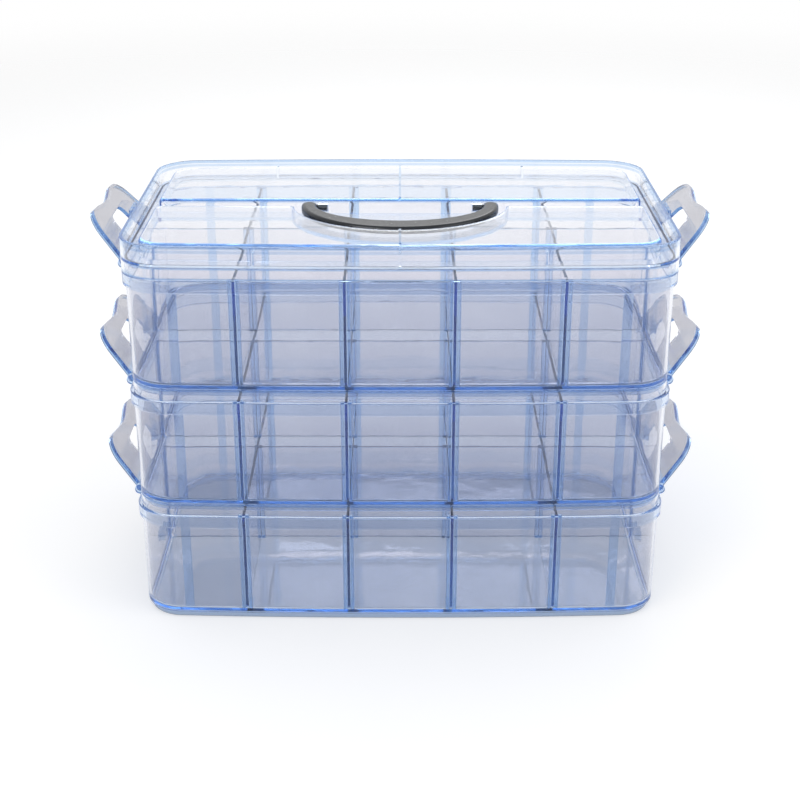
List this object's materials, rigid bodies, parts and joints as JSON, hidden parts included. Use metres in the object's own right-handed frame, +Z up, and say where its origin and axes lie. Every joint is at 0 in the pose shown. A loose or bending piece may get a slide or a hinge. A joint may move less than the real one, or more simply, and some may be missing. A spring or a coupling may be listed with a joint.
{
  "type": "compartment storage box",
  "caption": "Stacking craft box of clear blue plastic: latched trays with removable dividers, a lid and a folding carrying handle.",
  "frame": {"origin": "on the ground under the middle of the bottom tray", "axes": "+X along the long sides, towards the right-hand latches; -Y is the front, the side that the folded handle lies towards; +Z up"},
  "size_m": [0.3694, 0.202, 0.2406],
  "materials": {
    "tray_plastic": "clear pale blue, glossy",
    "divider_plastic": "clear pale blue, glossy",
    "latch_plastic": "clear pale blue, glossy",
    "lid_plastic": "clear pale blue, glossy",
    "handle_plastic": "near-black, glossy"
  },
  "bodies": {
    "bottom_tier": {"bottom_tray": "tray_plastic", "bottom_long_divider": "divider_plastic", "bottom_front_divider_1": "divider_plastic", "bottom_front_divider_2": "divider_plastic", "bottom_front_divider_3": "divider_plastic", "bottom_front_divider_4": "divider_plastic", "bottom_rear_divider_1": "divider_plastic", "bottom_rear_divider_2": "divider_plastic", "bottom_rear_divider_3": "divider_plastic", "bottom_rear_divider_4": "divider_plastic"},
    "middle_tier": {"middle_tray": "tray_plastic", "middle_long_divider": "divider_plastic", "middle_front_divider_1": "divider_plastic", "middle_front_divider_2": "divider_plastic", "middle_front_divider_3": "divider_plastic", "middle_front_divider_4": "divider_plastic", "middle_rear_divider_1": "divider_plastic", "middle_rear_divider_2": "divider_plastic", "middle_rear_divider_3": "divider_plastic", "middle_rear_divider_4": "divider_plastic"},
    "top_tier": {"top_tray": "tray_plastic", "top_long_divider": "divider_plastic", "top_front_divider_1": "divider_plastic", "top_front_divider_2": "divider_plastic", "top_front_divider_3": "divider_plastic", "top_front_divider_4": "divider_plastic", "top_rear_divider_1": "divider_plastic", "top_rear_divider_2": "divider_plastic", "top_rear_divider_3": "divider_plastic", "top_rear_divider_4": "divider_plastic"},
    "bottom_left_latch": {"bottom_latch_left": "latch_plastic"},
    "bottom_right_latch": {"bottom_latch_right": "latch_plastic"},
    "middle_left_latch": {"middle_latch_left": "latch_plastic"},
    "middle_right_latch": {"middle_latch_right": "latch_plastic"},
    "top_left_latch": {"top_latch_left": "latch_plastic"},
    "top_right_latch": {"top_latch_right": "latch_plastic"},
    "lid": {"lid": "lid_plastic"},
    "handle": {"handle": "handle_plastic"}
  },
  "joints": [
    {"name": "middle_tier_lift", "type": "slide", "parent": "bottom_tier", "child": "middle_tier", "axis": [0, 0, 1], "range_m": [0, 0.1]},
    {"name": "top_tier_lift", "type": "slide", "parent": "middle_tier", "child": "top_tier", "axis": [0, 0, 1], "range_m": [0, 0.1]},
    {"name": "lid_lift", "type": "slide", "parent": "top_tier", "child": "lid", "axis": [0, 0, 1], "range_m": [0, 0.1]},
    {"name": "handle_swing", "type": "hinge", "parent": "lid", "child": "handle", "pos_m": [0, 0, 0.2335], "axis": [-1, 0, 0], "range_deg": [0, 95]},
    {"name": "bottom_left_latch_swing", "type": "hinge", "parent": "bottom_tier", "child": "bottom_left_latch", "pos_m": [-0.1628, 0, 0.067], "axis": [0, -1, 0], "range_deg": [-40, 130]},
    {"name": "bottom_right_latch_swing", "type": "hinge", "parent": "bottom_tier", "child": "bottom_right_latch", "pos_m": [0.1628, 0, 0.067], "axis": [0, 1, 0], "range_deg": [-40, 130]},
    {"name": "middle_left_latch_swing", "type": "hinge", "parent": "middle_tier", "child": "middle_left_latch", "pos_m": [-0.1628, 0, 0.141], "axis": [0, -1, 0], "range_deg": [-40, 130]},
    {"name": "middle_right_latch_swing", "type": "hinge", "parent": "middle_tier", "child": "middle_right_latch", "pos_m": [0.1628, 0, 0.141], "axis": [0, 1, 0], "range_deg": [-40, 130]},
    {"name": "top_left_latch_swing", "type": "hinge", "parent": "top_tier", "child": "top_left_latch", "pos_m": [-0.1628, 0, 0.215], "axis": [0, -1, 0], "range_deg": [-40, 130]},
    {"name": "top_right_latch_swing", "type": "hinge", "parent": "top_tier", "child": "top_right_latch", "pos_m": [0.1628, 0, 0.215], "axis": [0, 1, 0], "range_deg": [-40, 130]}
  ]
}
